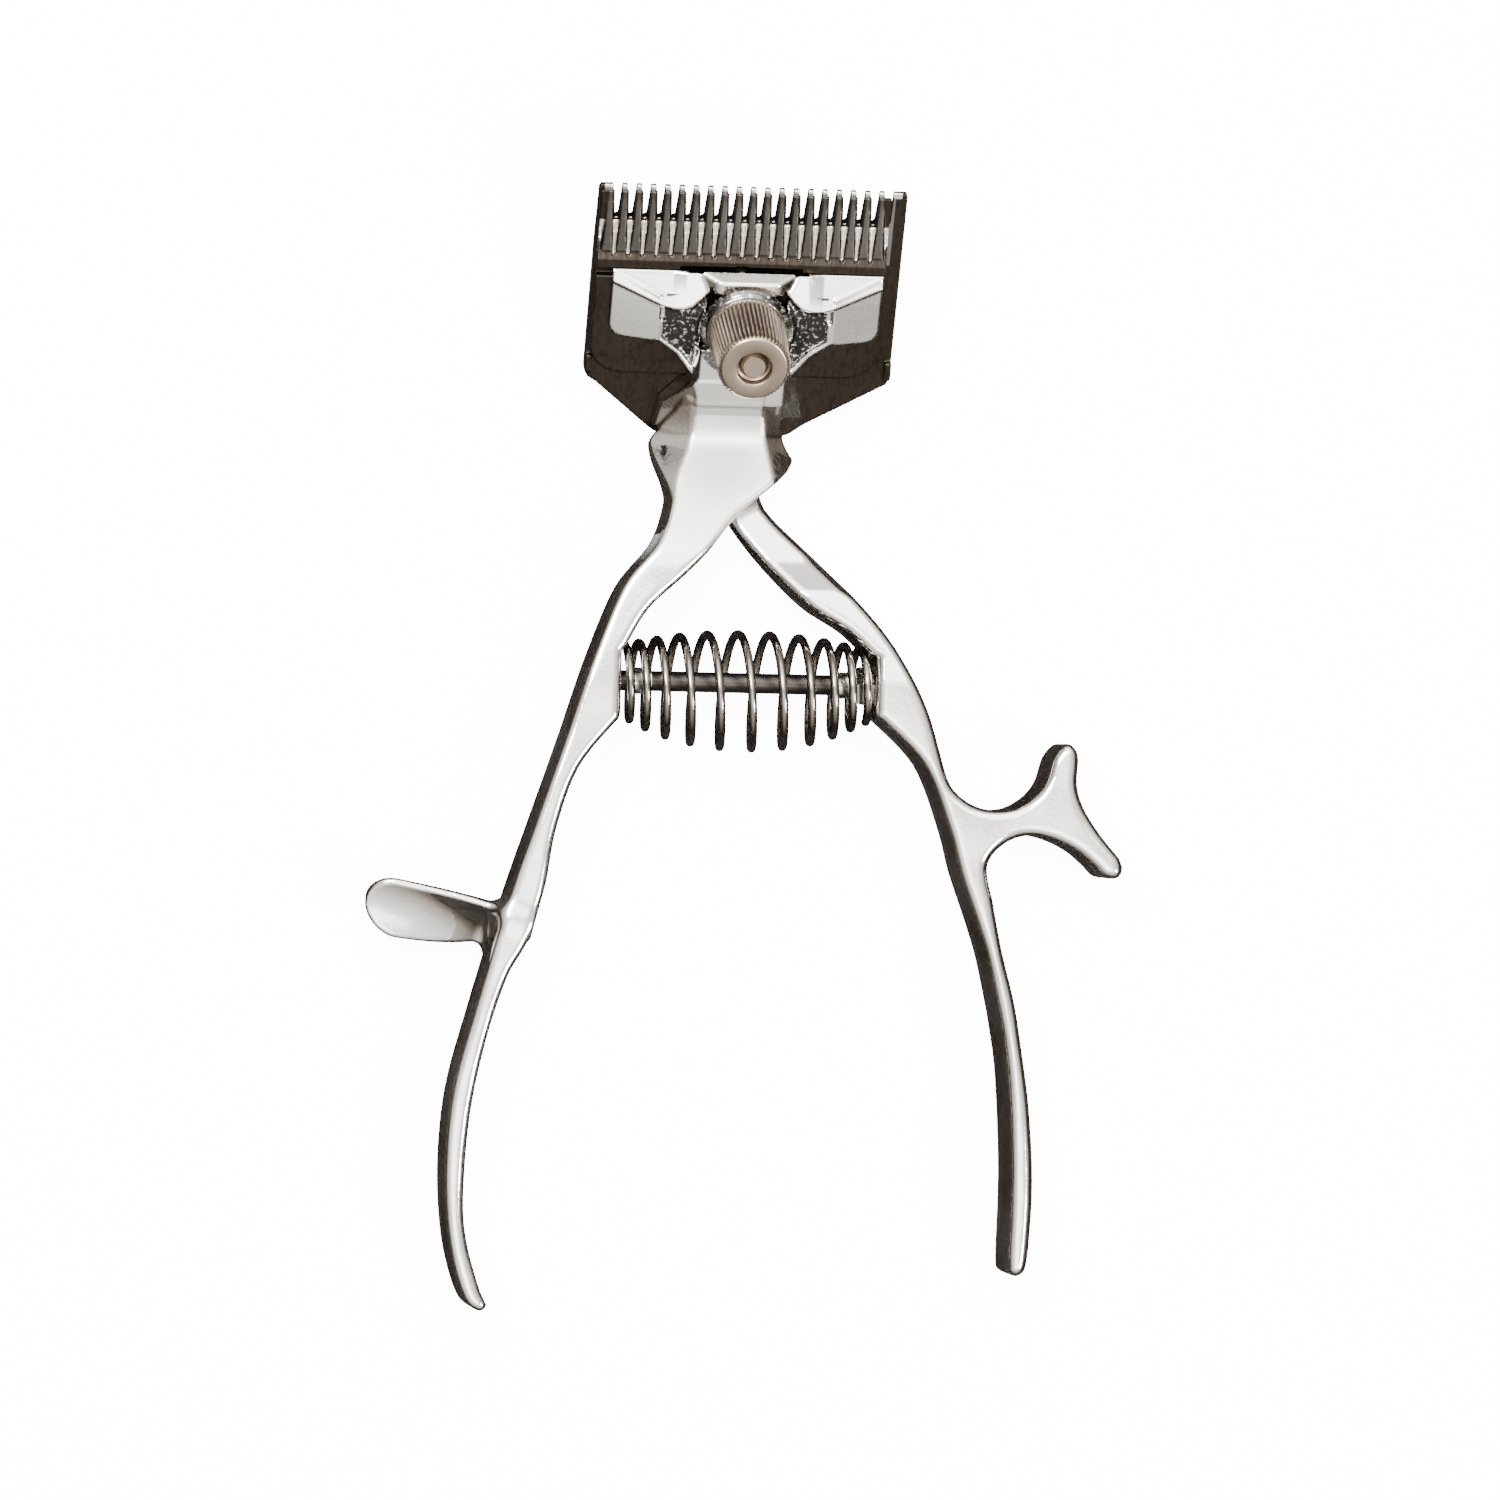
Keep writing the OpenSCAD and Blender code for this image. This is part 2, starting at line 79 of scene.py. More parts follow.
# Shapes as distance fields, negative inside

def straight(points):
    return np.array(points, float)


def spline(points, count=6):
    """A smooth open line through the points, with count steps between each two."""
    p = straight(points)
    n = len(p)
    out = []
    for i in range(n - 1):
        a, b, c, d = p[max(i - 1, 0)], p[i], p[i + 1], p[min(i + 2, n - 1)]
        for k in range(count):
            t = k / count
            out.append(0.5 * (2 * b + (c - a) * t + (2 * a - 5 * b + 4 * c - d) * t * t
                              + (3 * b - a - 3 * c + d) * t ** 3))
    out.append(p[-1])
    return np.array(out)


def outline_distance(poly, x, y):
    """Distance to a closed outline, negative inside."""
    x, y = np.broadcast_arrays(x, y)
    best = np.full(x.shape, 1e9)
    inside = np.zeros(x.shape, bool)
    for (ax, ay), (bx, by) in zip(poly, np.roll(poly, -1, 0)):
        ex, ey = bx - ax, by - ay
        size = ex * ex + ey * ey
        if size < 1e-12:
            continue
        wx, wy = x - ax, y - ay
        t = np.clip((wx * ex + wy * ey) / size, 0, 1)
        best = np.minimum(best, (wx - ex * t) ** 2 + (wy - ey * t) ** 2)
        if ay != by:
            inside ^= ((ay > y) != (by > y)) & (wx < ex * (y - ay) / ey)
    return np.where(inside, -1, 1) * np.sqrt(best)


def both(a, b, r):
    """Intersection with an edge of radius r."""
    return np.minimum(np.maximum(a, b), -r) + np.hypot(np.maximum(a + r, 0), np.maximum(b + r, 0))


def either(a, b, r):
    """Union with a fillet of radius r."""
    return -both(-a, -b, r)


class Height:
    """A side outline's edge: z against y, with its corners eased."""

    STEP = 0.1
    REACH = 40
    MARGIN = 6

    def __init__(self, points, ease):
        p = np.array(sorted(points), float)
        self.y = np.arange(p[0, 0] - self.MARGIN, p[-1, 0] + self.MARGIN, self.STEP)
        z = np.interp(self.y, p[:, 0], p[:, 1])
        k = np.exp(-0.5 * (np.arange(-self.REACH, self.REACH + 1) * self.STEP / ease) ** 2)
        self.z = np.convolve(np.pad(z, self.REACH, mode="edge"), k / k.sum(), "valid")
        self.slope = np.gradient(self.z, self.STEP)

    def at(self, y):
        return np.interp(y, self.y, self.z)

    def above(self, y, z):
        return (z - self.at(y)) / np.hypot(1, np.interp(y, self.y, self.slope))


def steps(*marks):
    """Grid lines: marks is position, step, position, step, ..., position."""
    out = [marks[0]]
    for step, end in zip(marks[1::2], marks[2::2]):
        n = max(1, round((end - out[-1]) / step))
        out += list(np.linspace(out[-1], end, n + 1)[1:])
    return np.array(out)


def surface_net(field, *ax):
    """The field's zero surface as vertices and quads, each vertex then moved onto the surface."""
    f = np.empty(tuple(len(a) for a in ax), np.float32)
    slab = 16
    for i in range(0, len(ax[0]), slab):
        f[i:i + slab] = field(ax[0][i:i + slab, None, None], ax[1][None, :, None], ax[2][None, None, :])
    inside = f < 0
    nx, ny, nz = (n - 1 for n in f.shape)
    corners = [(i, j, k) for i in (0, 1) for j in (0, 1) for k in (0, 1)]
    count = sum(inside[i:nx + i, j:ny + j, k:nz + k].astype(np.int8) for i, j, k in corners)
    mixed = (count > 0) & (count < 8)
    index = np.full(mixed.shape, -1, np.int64)
    cells = np.argwhere(mixed)
    index[mixed] = np.arange(len(cells))
    place = np.zeros((len(cells), 3))
    hits = np.zeros(len(cells))
    for a in corners:
        for b in corners:
            if sum(b) - sum(a) != 1 or any(q < p for p, q in zip(a, b)):
                continue
            fa = f[tuple((cells + a).T)]
            fb = f[tuple((cells + b).T)]
            cross = (fa < 0) != (fb < 0)
            t = np.where(cross, fa / np.where(cross, fa - fb, 1), 0)
            place += np.where(cross[:, None], np.array(a) + t[:, None] * (np.array(b) - np.array(a)), 0)
            hits += cross
    spot = cells + place / hits[:, None]
    verts = np.stack([np.interp(spot[:, i], np.arange(len(a)), a) for i, a in enumerate(ax)], 1)
    reach = 0.35 * min(np.diff(a).min() for a in ax)
    quads = []
    for axis in range(3):
        u, v = [(1, 2), (2, 0), (0, 1)][axis]
        here = [slice(1, -1)] * 3
        there = [slice(1, -1)] * 3
        here[axis], there[axis] = slice(0, -1), slice(1, None)
        a, b = inside[tuple(here)], inside[tuple(there)]
        for mask, flip in ((a & ~b, False), (~a & b, True)):
            e = np.argwhere(mask) + 1
            e[:, axis] -= 1
            du, dv = np.zeros(3, int), np.zeros(3, int)
            du[u], dv[v] = 1, 1
            ring = [e - du - dv, e - dv, e, e - du]
            q = np.stack([index[tuple(r.T)] for r in ring], 1)
            quads.append(q[:, ::-1] if flip else q)
    quads = np.concatenate(quads)

    def at(p):
        return field(p[:, 0], p[:, 1], p[:, 2])

    e = 0.04
    flattest = 0.05
    for _ in range(2):
        value = at(verts)
        grad = np.stack([(at(verts + e * np.eye(3)[i]) - value) / e for i in range(3)], 1)
        size = np.maximum((grad ** 2).sum(1), flattest)
        move = -grad * (value / size)[:, None]
        far = np.linalg.norm(move, axis=1)
        verts = verts + move * np.minimum(1, reach / np.maximum(far, 1e-9))[:, None]
    return verts, quads


def mesh_object(name, verts, faces):
    """verts in millimetres; faces as an array of quads, or as a list of tuples."""
    mesh = bpy.data.meshes.new(name)
    verts = np.asarray(verts, float)
    if isinstance(faces, np.ndarray):
        mesh.vertices.add(len(verts))
        mesh.vertices.foreach_set("co", (verts * MM).ravel())
        mesh.loops.add(faces.size)
        mesh.loops.foreach_set("vertex_index", faces.ravel().astype(np.int32))
        mesh.polygons.add(len(faces))
        mesh.polygons.foreach_set("loop_start", np.arange(0, faces.size, faces.shape[1], dtype=np.int32))
        mesh.update(calc_edges=True)
    else:
        mesh.from_pydata((verts * MM).tolist(), [], faces)
    mesh.validate()
    mesh.shade_smooth()
    o = bpy.data.objects.new(name, mesh)
    bpy.context.scene.collection.objects.link(o)
    return o


def tone(o, values, name="tone"):
    """How strongly each point takes its metal's accent, from 0 to 1: painted shade, painted highlights, painted
    reflections and some wear; or how "satin"; the metals read it.
    """
    data = o.data.attributes.new(name, "FLOAT", "POINT").data
    data.foreach_set("value", np.clip(values, 0, 1).astype(np.float32))


# The two castings: outlines from above, then side outlines, then the head's own outlines

FIXED_PLAN = np.concatenate([
    spline([(-8, 52), (-9.5, 49.5), (-12.5, 46), (-12.4, 43), (-10.6, 38.3), (-10.4, 35.5), (-12.3, 30),
            (-17.2, 23.6), (-21.4, 13.1), (-25.1, 1.4), (-29.4, -11.7), (-32.8, -22.2), (-37.4, -38.6),
            (-40.4, -50.8), (-41.2, -62.4), (-40.3, -73), (-38, -80.8), (-35.6, -82.93), (-34.3, -82.2)]),
    spline([(-35.4, -80), (-37.5, -73), (-38.2, -66), (-37.5, -54), (-35.4, -43), (-32.6, -34),
            (-29.8, -28.7), (-27.4, -20.7), (-26, -12.3), (-22.9, -3.1), (-17.2, 4.2)]),
    straight([(-17, 5), (-17, 14)]),
    spline([(-16.4, 14.8), (-13.2, 20.3), (-8.3, 25), (-4.7, 28.7), (-0.1, 34.4), (5.2, 38.8), (7.6, 41)]),
    straight([(10.2, 44.4), (9.1, 48.6), (7, 52)]),
])
FIXED_TOP = Height([(-84, 12.4), (-40, 14.2), (10, 15.6), (29.2, 15.6), (46.3, 8.3), (52, 11.6)], 1.4)
FIXED_BOTTOM = Height([(-84, 0), (-40, 1.4), (10, 3.6), (30, 4.2), (42, 3.4), (46.2, 4.2), (52, 8.8)], 0.8)
PANEL = straight([(-60, -90), (-60, 24), (-13.4, 28.6), (-10.3, 32.4), (-9.1, 36.3), (-8.5, 40), (-6.9, 43.8),
                  (-6.2, 46.8), (-6.1, 50.6), (-7.2, 54.3), (-7.2, 62), (4.4, 62), (3.2, 50), (3.8, 45.6),
                  (4.6, 41), (5.1, 38.8), (-0.1, 33.6), (10, 20), (20, -90)])
PASSAGE = straight([(-8.4, 49), (-9.6, 40.5), (-10, 36), (-10.2, 33), (-12, 28.4), (12, 20), (14, 49), (6.6, 49)])
PASSAGE_SIDE = straight([(24, -1), (24, 13.4), (29, 12.6), (35, 10.6), (43, 6.5), (46.4, 6.3), (49.5, 7.9),
                         (49, -1)])
CHANNEL = straight([(-5.6, 6.4), (5.6, 6.4), (6.4, 0), (4.4, -9), (3.7, -21), (-9, -21), (-6.6, -9), (-6.4, 0)])
PAD = straight([(12.7, 5), (20, 8.3), (20, -0.6), (19.7, -1.5), (19.1, -2.1), (18.2, -2.4), (13.6, -2.5),
                (12.7, -2.2)])
RIDGE = straight([(0, 6.9), (4.4, 6.9), (5.6, 6.2), (6.8, 4.7), (8, 3.6), (9.4, 3.15), (11, 3.2), (12.5, 3.6),
                  (19.4, 6.95), (20.4, 7.4)])
WEB = straight([(-12.8, 6), (12.8, 6), (12.9, -2.3), (9.9, -4.5), (8.6, -6.2), (7, -8.4), (6.2, -14),
                (-6.2, -14), (-7, -8.4), (-8.6, -6.2), (-9.9, -4.5), (-12.9, -2.3)])
FOOT = straight([(-6.6, -8), (6.6, -8), (9.6, -13.4), (10.4, -17.4), (-12.2, -17.4), (-11.4, -13)])


CAP_UNDER, CAP_TOP = 4.52, 7.95
COMB_FACE = 2.46
CAP_FRONT = 8.3
CAP_HALF = 20
SLOT_HALF = 8.9
SPOT_FACE_R = 6.5
EDGE_R = 1.4
UNDER_EDGE_R = 0.7


def tube_x(y, z, r):
    """A round bar along the return spring's axis."""
    return np.hypot(y - SPRING_Y, z - SPRING_Z) - r


def thumb_rest(x, y, z):
    """A dished blade that twists from upright at the handle to nearly flat at its round end."""
    t = np.clip((-29.4 - x) / 24, 0, 1)
    yc, zc = -25.6 + 2.3 * t * t, 7.8 + 1.4 * t
    turn = np.radians(18 + 67 * (1 - t) ** 2)
    half = 4.6 * np.sqrt(np.clip(1 - np.maximum(0, (t - 0.8) / 0.2) ** 2, 0.0, 1))
    w = (y - yc) * np.cos(turn) + (z - zc) * np.sin(turn)
    dish = 0.9 * np.clip(w / 4.6, -1.2, 1.2) ** 2 - 0.3
    h = (z - zc) * np.cos(turn) - (y - yc) * np.sin(turn) - dish
    thick = 0.86 + 0.7 * np.clip(1 - t * 4, 0, 1)
    d = np.hypot(np.maximum(np.abs(w) - half + thick, 0), h) - thick
    return np.maximum(np.maximum(d * 0.85, -53.3 - x), x + 30.6)


def cap_wings(ax, hy, hz):
    """The flat pads and, in front, the bar whose slope faces the teeth; ax is the distance from the middle."""
    pad = both(outline_distance(PAD, ax, hy), (hz - 6.66 + 0.227 * (ax - 12.5)) / 1.025, 0.3)
    pad = both(pad, CAP_UNDER - hz, 0.1)
    middle = np.clip((11.1 - ax) / 2.1, 0, 1)
    slope = (hz - 4.75 - 0.65 * middle - (0.45 - 0.12 * middle) * (CAP_FRONT - hy)) / 1.1
    ridge = np.interp(ax, RIDGE[:, 0], RIDGE[:, 1])
    behind = (ridge - 0.45 - hy) * 0.8 + 0.35 * np.maximum(hz - 6.2, -1)
    bar = both(both(np.maximum(ax - CAP_HALF, hy - CAP_FRONT), slope, 0.25), behind, 0.3)
    return either(pad, both(bar, CAP_UNDER - hz, 0.1), 0.15)


def cap_brow(ax, hy, hz):
    """The raised block in front of the nut."""
    face = (hy - 8.55) * 0.9 + (hz - 5.3) * 0.436
    brow = both(both(face, hz - 7.3, 0.25), 5.6 - hy, 0.25)
    return both(both(brow, (ax - 7.2 + 1.5 * (hz - 5.4)) * 0.6, 0.4), CAP_UNDER - hz, 0.1)


def fixed_field(x, y, z):
    hx, hy, hz = to_head(x, y, z)
    ax = np.abs(hx)
    rho = np.hypot(hx, hy)
    side = outline_distance(FIXED_PLAN, x, y)
    lobe = outline_distance(PANEL, x, y)
    blank = both(both(side, FIXED_TOP.above(y, z), EDGE_R), -FIXED_BOTTOM.above(y, z), UNDER_EDGE_R)
    blank = both(blank, (z - FIXED_TOP.at(y) + 0.7 * np.maximum(lobe, 0)) / 1.25, 0.5)
    blank = either(blank, thumb_rest(x, y, z), 2.6)
    web_side = outline_distance(WEB, hx, hy)
    web = both(web_side, hz - 5.5 - 0.16 * np.maximum(9.6 - rho, 0), 0.25)
    rim = both(both(web_side, hz - 6.45, 0.25), -web_side - 0.75, 0.2)
    rim = np.maximum(rim, hy - 1)
    collar = both((rho - 5.7) * 0.82 + (hz - 8) * 0.57, hz - CAP_TOP, 0.2)
    back = both((ax - 6.4) * 0.9 + (hz - 8) * 0.43, hz - CAP_TOP, 0.35)
    back = both(back, np.maximum(-hy - 12, hy + 3), 0.1)
    foot = both(outline_distance(FOOT, hx, hy), hz - CAP_TOP + 0.6 * np.maximum(lobe, 0), 0.4)
    head = either(cap_wings(ax, hy, hz), cap_brow(ax, hy, hz), 0.3)
    for part, fillet in ((web, 0.35), (collar, 0.5), (rim, 0.2), (either(back, foot, 0.4), 0.4)):
        head = either(head, part, fillet)
    head = both(head, np.where(hy > -9, CAP_UNDER, COMB_FACE) - hz, 0.12)
    passage = both(outline_distance(PASSAGE, x, y), outline_distance(PASSAGE_SIDE, y, z), 0.5)
    d = both(either(blank, head, 0.6), -passage, 0.3)
    channel = np.maximum(outline_distance(CHANNEL, hx, hy), np.abs(hz - 5.5) - 1.1)
    slot = np.maximum(np.maximum(ax - SLOT_HALF, 5.6 - hy), hz - 5.25)
    d = np.maximum(d, -np.minimum(np.minimum(channel, slot), rho - 2.3))
    seat = np.maximum(tube_x(y, z, SPOT_FACE_R), np.abs(x - SEAT_LEFT - 4) - 4)
    mouth = np.maximum(tube_x(y, z, 2.5), np.abs(x + 16.6) - 2.8)
    across = (y - SPRING_Y) * COS + (z - SPRING_Z) * SIN
    along = (z - SPRING_Z) * COS - (y - SPRING_Y) * SIN
    swivel = np.maximum(np.hypot(x + SWIVEL_X, across) - 2.0, np.abs(along) - 2.5)
    return np.maximum(d, -np.minimum(np.minimum(seat, mouth), swivel))


MOVING_PLAN = np.concatenate([
    spline([(3.2, 46), (3.4, 41), (3.8, 37.5), (5.4, 34.3), (12.1, 27.8), (20.4, 19.3), (25, 13), (28.6, 6),
            (31.6, -3.4), (33.4, -6)])[:-1],
    spline([(33.4, -6), (35.4, -7.3), (38.1, -8), (41.5, -7.7), (44.4, -6), (46.2, -3.6), (47.3, 0),
            (49.3, 2), (51, 0.4), (51, -4), (52, -7.3), (54.4, -11), (57.6, -14.7)]),
    straight([(58.15, -16), (58, -17), (57.4, -17.7)]),
    spline([(56.6, -17.8), (55.2, -17.4), (53.6, -15.9), (51.1, -13.9), (47.9, -12.4), (44.6, -11.7), (41.8, -12.2),
            (39.3, -13.9), (38, -16), (38.1, -18.4), (38.8, -21)])[:-1],
    spline([(38.8, -21), (40.5, -28.9), (42.5, -36.3), (43.9, -43.8), (45.1, -51.3), (45.9, -60), (46, -67),
            (45.5, -74.8), (44.4, -76.6), (43.1, -76.4), (42.5, -74.6), (42.6, -65), (42.3, -56), (41.2, -43.9),
            (38.5, -31.3), (36.4, -24.7), (33.8, -17.7), (31.7, -10.6), (27.9, -1.7), (21.6, 4.6)]),
    straight([(20.6, 5.2), (20.6, 14)]),
    spline([(20.2, 14), (16.3, 17.6), (10.2, 21.4), (3.5, 27.9), (-1.2, 34), (-2.7, 38), (-3, 42), (-3, 46)]),
])
MOVING_TOP = Height(
    [(-78, 12.4), (-40, 14.2), (10, 15.6), (23, 15.2), (28, 12), (35, 9.3), (42, 5.4), (46, 5.4)], 0.5)
MOVING_BOTTOM = Height([(-78, 0), (-40, 1.4), (10, 4.2), (30, 4.6), (38, 4.6), (43.6, 3.8), (46, 4.1)], 0.7)
SHANK = straight([(-2.9, -3), (2.9, -3), (2.7, -20), (-2.7, -20)])


def moving_field(x, y, z):
    hx, hy, hz = to_head(x, y, z)
    side = outline_distance(MOVING_PLAN, x, y)
    blank = both(both(side, MOVING_TOP.above(y, z), EDGE_R), -MOVING_BOTTOM.above(y, z), UNDER_EDGE_R)
    plan = np.minimum(np.hypot(hx, hy) - 5.2, outline_distance(SHANK, hx, hy))
    plate = both(plan, np.abs(hz - 5.5) - 0.9, 0.15)
    d = either(blank, plate, 0.3)
    hole = np.hypot(hx, hy) - 3.25
    bore = np.maximum(tube_x(y, z, 1.8 + 0.14 * np.clip(x - SWIVEL_X, 0, 10)), 17 - x)
    seat = np.maximum(tube_x(y, z, SPOT_FACE_R), np.abs(x - SEAT_RIGHT + 4) - 4)
    return np.maximum(d, -np.minimum(np.minimum(hole, bore), seat))


def in_world(verts):
    """Plan X counts from the stud, world X from the middle."""
    return verts + np.array([PIVOT[0], 0, 0])


# Materials

def new_material(name):
    m = bpy.data.materials.new(name)
    m.use_nodes = True
    tree = m.node_tree
    tree.nodes.clear()
    out = tree.nodes.new("ShaderNodeOutputMaterial")
    shader = tree.nodes.new("ShaderNodeBsdfPrincipled")
    tree.links.new(shader.outputs[0], out.inputs["Surface"])
    return m, tree, shader


def metal(name, color, rough, spread, tint, grain=None, bump=0.02, wave=0.0, pits=0.0,
          accent=None, speckled=False):
    """A metal whose polish varies in patches, with grain along one axis or fine pits.

    accent is a colour and an added roughness for the places that the "tone" attribute marks, which are painted
    shade, painted highlights, painted reflections and some wear;
    "satin" marks places with a duller polish.
    """
    m, tree, shader = new_material(name)
    link = tree.links.new
    coord = tree.nodes.new("ShaderNodeTexCoord").outputs["Object"]

    def node(kind, operation=None, **inputs):
        made = tree.nodes.new("ShaderNode" + kind)
        if operation:
            made.operation = operation
        for key, value in inputs.items():
            socket = made.inputs[int(key[1:])] if key[1:].isdigit() else made.inputs[key.replace("_", " ")]
            if isinstance(value, bpy.types.NodeSocket):
                link(value, socket)
            else:
                socket.default_value = value
        return made

    def noise(scale, detail, vector=coord):
        return node("TexNoise", Scale=scale, Detail=detail, Vector=vector).outputs["Fac"]

    def map_range(value, low, high, to_low=0.0, to_high=1.0):
        return node("MapRange", Value=value, From_Min=low, From_Max=high, To_Min=to_low,
                    To_Max=to_high).outputs[0]

    def mix_color(factor, a, b):
        made = tree.nodes.new("ShaderNodeMix")
        made.data_type = "RGBA"
        link(factor, made.inputs["Factor"])
        for key, value in (("A", a), ("B", b)):
            if isinstance(value, bpy.types.NodeSocket):
                link(value, made.inputs[key])
            else:
                made.inputs[key].default_value = (*value, 1)
        return made.outputs["Result"]

    def attribute(key):
        made = tree.nodes.new("ShaderNodeAttribute")
        made.attribute_name = key
        return made.outputs["Fac"]

    def raised(height, strength, depth, before=None):
        made = node("Bump", Strength=strength, Distance=depth, Height=height)
        if before:
            link(before, made.inputs["Normal"])
        return made.outputs[0]

    patches = noise(90, 5)
    stretched = node("Mapping", Scale=grain, Vector=coord).outputs[0] if grain else coord
    fine = noise(1600, 4, stretched)
    # The tone attribute: painted shade, painted highlights, painted reflections and some wear, mixed in as the
    # accent colour
    wear_and_painted_light = attribute("tone")
    polish = map_range(patches, 0.3, 0.7, rough, rough + spread)
    polish = node("Math", "MULTIPLY_ADD", _0=attribute("satin"), _1=0.34, _2=polish).outputs[0]
    polish = node("Math", "MULTIPLY_ADD", _0=wear_and_painted_light, _1=accent[3] if accent else 0, _2=polish).outputs[0]
    link(polish, shader.inputs["Roughness"])
    base = mix_color(map_range(fine if grain else patches, 0.45, 0.75), color, tint)
    specks = map_range(noise(1900, 3), 0.56, 0.68, 1.0, 0.2 if speckled else 1.0)
    cover = node("Math", "MULTIPLY", _0=wear_and_painted_light, _1=specks).outputs[0]
    link(mix_color(cover, base, accent[:3] if accent else color), shader.inputs["Base Color"])
    shader.inputs["Metallic"].default_value = 1.0
    normal = raised(fine, bump, 0.0002)
    if wave:
        normal = raised(noise(75, 1), wave, 0.0015, normal)
    if pits:
        cells = node("TexVoronoi", Scale=1500, Vector=coord).outputs["Distance"]
        normal = raised(cells, pits, 0.0003, normal)
    link(normal, shader.inputs["Normal"])
    return m


# Accents that the tone attribute mixes in: dark brown on the chrome and the nickel for painted shade (and the nut's
# duller end face), near white on the blades for painted highlights and painted reflections
CHROME = metal("handle chrome", (0.88, 0.865, 0.84), 0.05, 0.06, (0.8, 0.78, 0.74), wave=0.24, pits=0.02,
               accent=(0.018, 0.014, 0.011, 0.1), speckled=True)
BLADE = metal("browned blade steel", (0.03, 0.0235, 0.0185), 0.26, 0.14, (0.017, 0.0135, 0.0105),
              grain=(1, 0.08, 1), bump=0.1, accent=(0.93, 0.9, 0.86, -0.1))
NICKEL = metal("worn nickel", (0.4, 0.325, 0.25), 0.2, 0.14, (0.2, 0.155, 0.115), bump=0.08,
               accent=(0.07, 0.05, 0.035, 0.2))
SPRING_STEEL = metal("dark spring wire", (0.27, 0.24, 0.21), 0.08, 0.08, (0.1, 0.085, 0.07), bump=0.03)
BRIGHT = metal("bright turned steel", (0.8, 0.78, 0.75), 0.12, 0.06, (0.64, 0.624, 0.6), bump=0.04)
ROD = metal("oiled rod steel", (0.06, 0.05, 0.045), 0.22, 0.1, (0.048, 0.04, 0.036), bump=0.04)
PIN = metal("drive pin steel", (0.2, 0.17, 0.14), 0.25, 0.1, (0.16, 0.136, 0.112), bump=0.05)
SLOT = {"handle_chrome": CHROME, "blade_steel": BLADE, "nut_nickel": NICKEL, "spring_steel": SPRING_STEEL,
        "bright_steel": BRIGHT, "rod_steel": ROD}
for part in frame["record"]["subparts"]:
    node = frame["nodes"][part["node"]]
    node.data.materials.clear()
    node.data.materials.append(PIN if part["node"] == "drive_pin" else SLOT[part["material_slot"]])


def dress(o, material):
    o.data.materials.append(material)


def tooth_offset(x):
    """Distance from the nearest tooth or gap of a row with one at x = 0."""
    return np.abs(x / PITCH - np.round(x / PITCH)) * PITCH


verts, quads = surface_net(
    fixed_field, steps(-54, 0.36, -21, 0.2, 21), steps(-84, 0.36, 43, 0.21, 72), steps(-0.6, 0.3, 20.6))
fixed = mesh_object("fixed_casting", in_world(verts), quads)
dress(fixed, CHROME)
x, y, z = verts.T
hx, hy, hz = to_head(x, y, z)
# Dark brown tone: painted shade in the hollow inside the rim and round the nut's foot; the flat pads only a little
# darker
hollow_painted_shade = (outline_distance(WEB, hx, hy) < -0.8) & (hz < 6.3) & (hz > 5) & (hy > -9)
nut_foot_painted_shade = (np.hypot(hx, hy) < 7.4) & (hz > 6) & (hy > -6)
pads = ((outline_distance(PAD, hx, hy) < 0) | (outline_distance(PAD, -hx, hy) < 0)) & (hy < 4)
tone(fixed, np.where(nut_foot_painted_shade, 0.85, np.where(pads, 0.12, 0.97 * hollow_painted_shade)))
neck = (y > 27) & (y < 49) & (z > 7) & (outline_distance(PANEL, x, y) < 0.4)
tone(fixed, neck * np.clip((y - 27) / 5, 0, 1), "satin")
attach(fixed, "frame")
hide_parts("fixed_handle")

verts, quads = surface_net(
    moving_field, steps(-6, 0.34, 59), steps(-77.6, 0.34, 71), steps(-0.6, 0.34, 20.5))
moving = mesh_object("moving_casting", in_world(verts), quads)
dress(moving, CHROME)
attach(moving, "lever")
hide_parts("moving_handle")


# The cutting head

COMB_PLAN = straight([
    (-22.4, 20.7), (22.4, 20.7), (22.7, 20.2), (22.7, -9.6), (22.2, -10.6), (20.9, -11.4), (10.6, -17.6),
    (8.6, -19.2), (7.6, -19.6), (-10.2, -19.6), (-11.6, -19.3), (-12.6, -18.6), (-20.9, -11.4),
    (-22.2, -10.6), (-22.7, -9.6), (-22.7, 20.2)])
CUTTER_PLAN = straight([
    (-21.3, 20), (21.3, 20), (21.3, -4.9), (20.9, -6.2), (20.1, -7.4), (18.6, -8.4), (16.8, -8.8),
    (-16.8, -8.8), (-18.6, -8.4), (-20.1, -7.4), (-20.9, -6.2), (-21.3, -4.9)])
COMB_T = 2.4
SCREWS = ((-10, -15.4), (8.6, -14.8))


def comb_field(hx, hy, hz):
    run = np.clip((20.7 - hy) / 5.1, 0, 1)
    gap = np.hypot(PITCH / 2 - tooth_offset(hx), np.maximum(15.95 - hy, 0)) - (0.65 - 0.25 * run)
    gap = np.where(np.abs(hx) < 20.6, gap, 1.0)
    plan = outline_distance(COMB_PLAN, hx, hy)
    d = both(plan, -gap, 0.08)
    d = both(d, hz - COMB_T, 0.1)
    d = both(d, -hz, 0.15)
    d = both(d, ((hy - 11) * 1.5 / 9.7 - hz) * 0.988, 0.15)
    ledge = np.maximum(21.7 - np.abs(hx), np.abs(hy + 8.2) - 1.5)
    ledge = np.maximum(both(ledge, np.maximum(hz - 3.1, 1 - hz), 0.1), plan)
    d = either(d, ledge, 0.1)
    rho = np.hypot(hx, hy)
    bore = np.minimum(rho - 2.05, np.maximum(rho - 4.1, hz - 1))
    for px, py in SCREWS:
        r = np.hypot(hx - px, hy - py)
        bore = np.minimum(bore, np.minimum(r - 1.05, (r - 2.1 + hz * 0.9) * 0.75))
    return np.maximum(d, -bore)


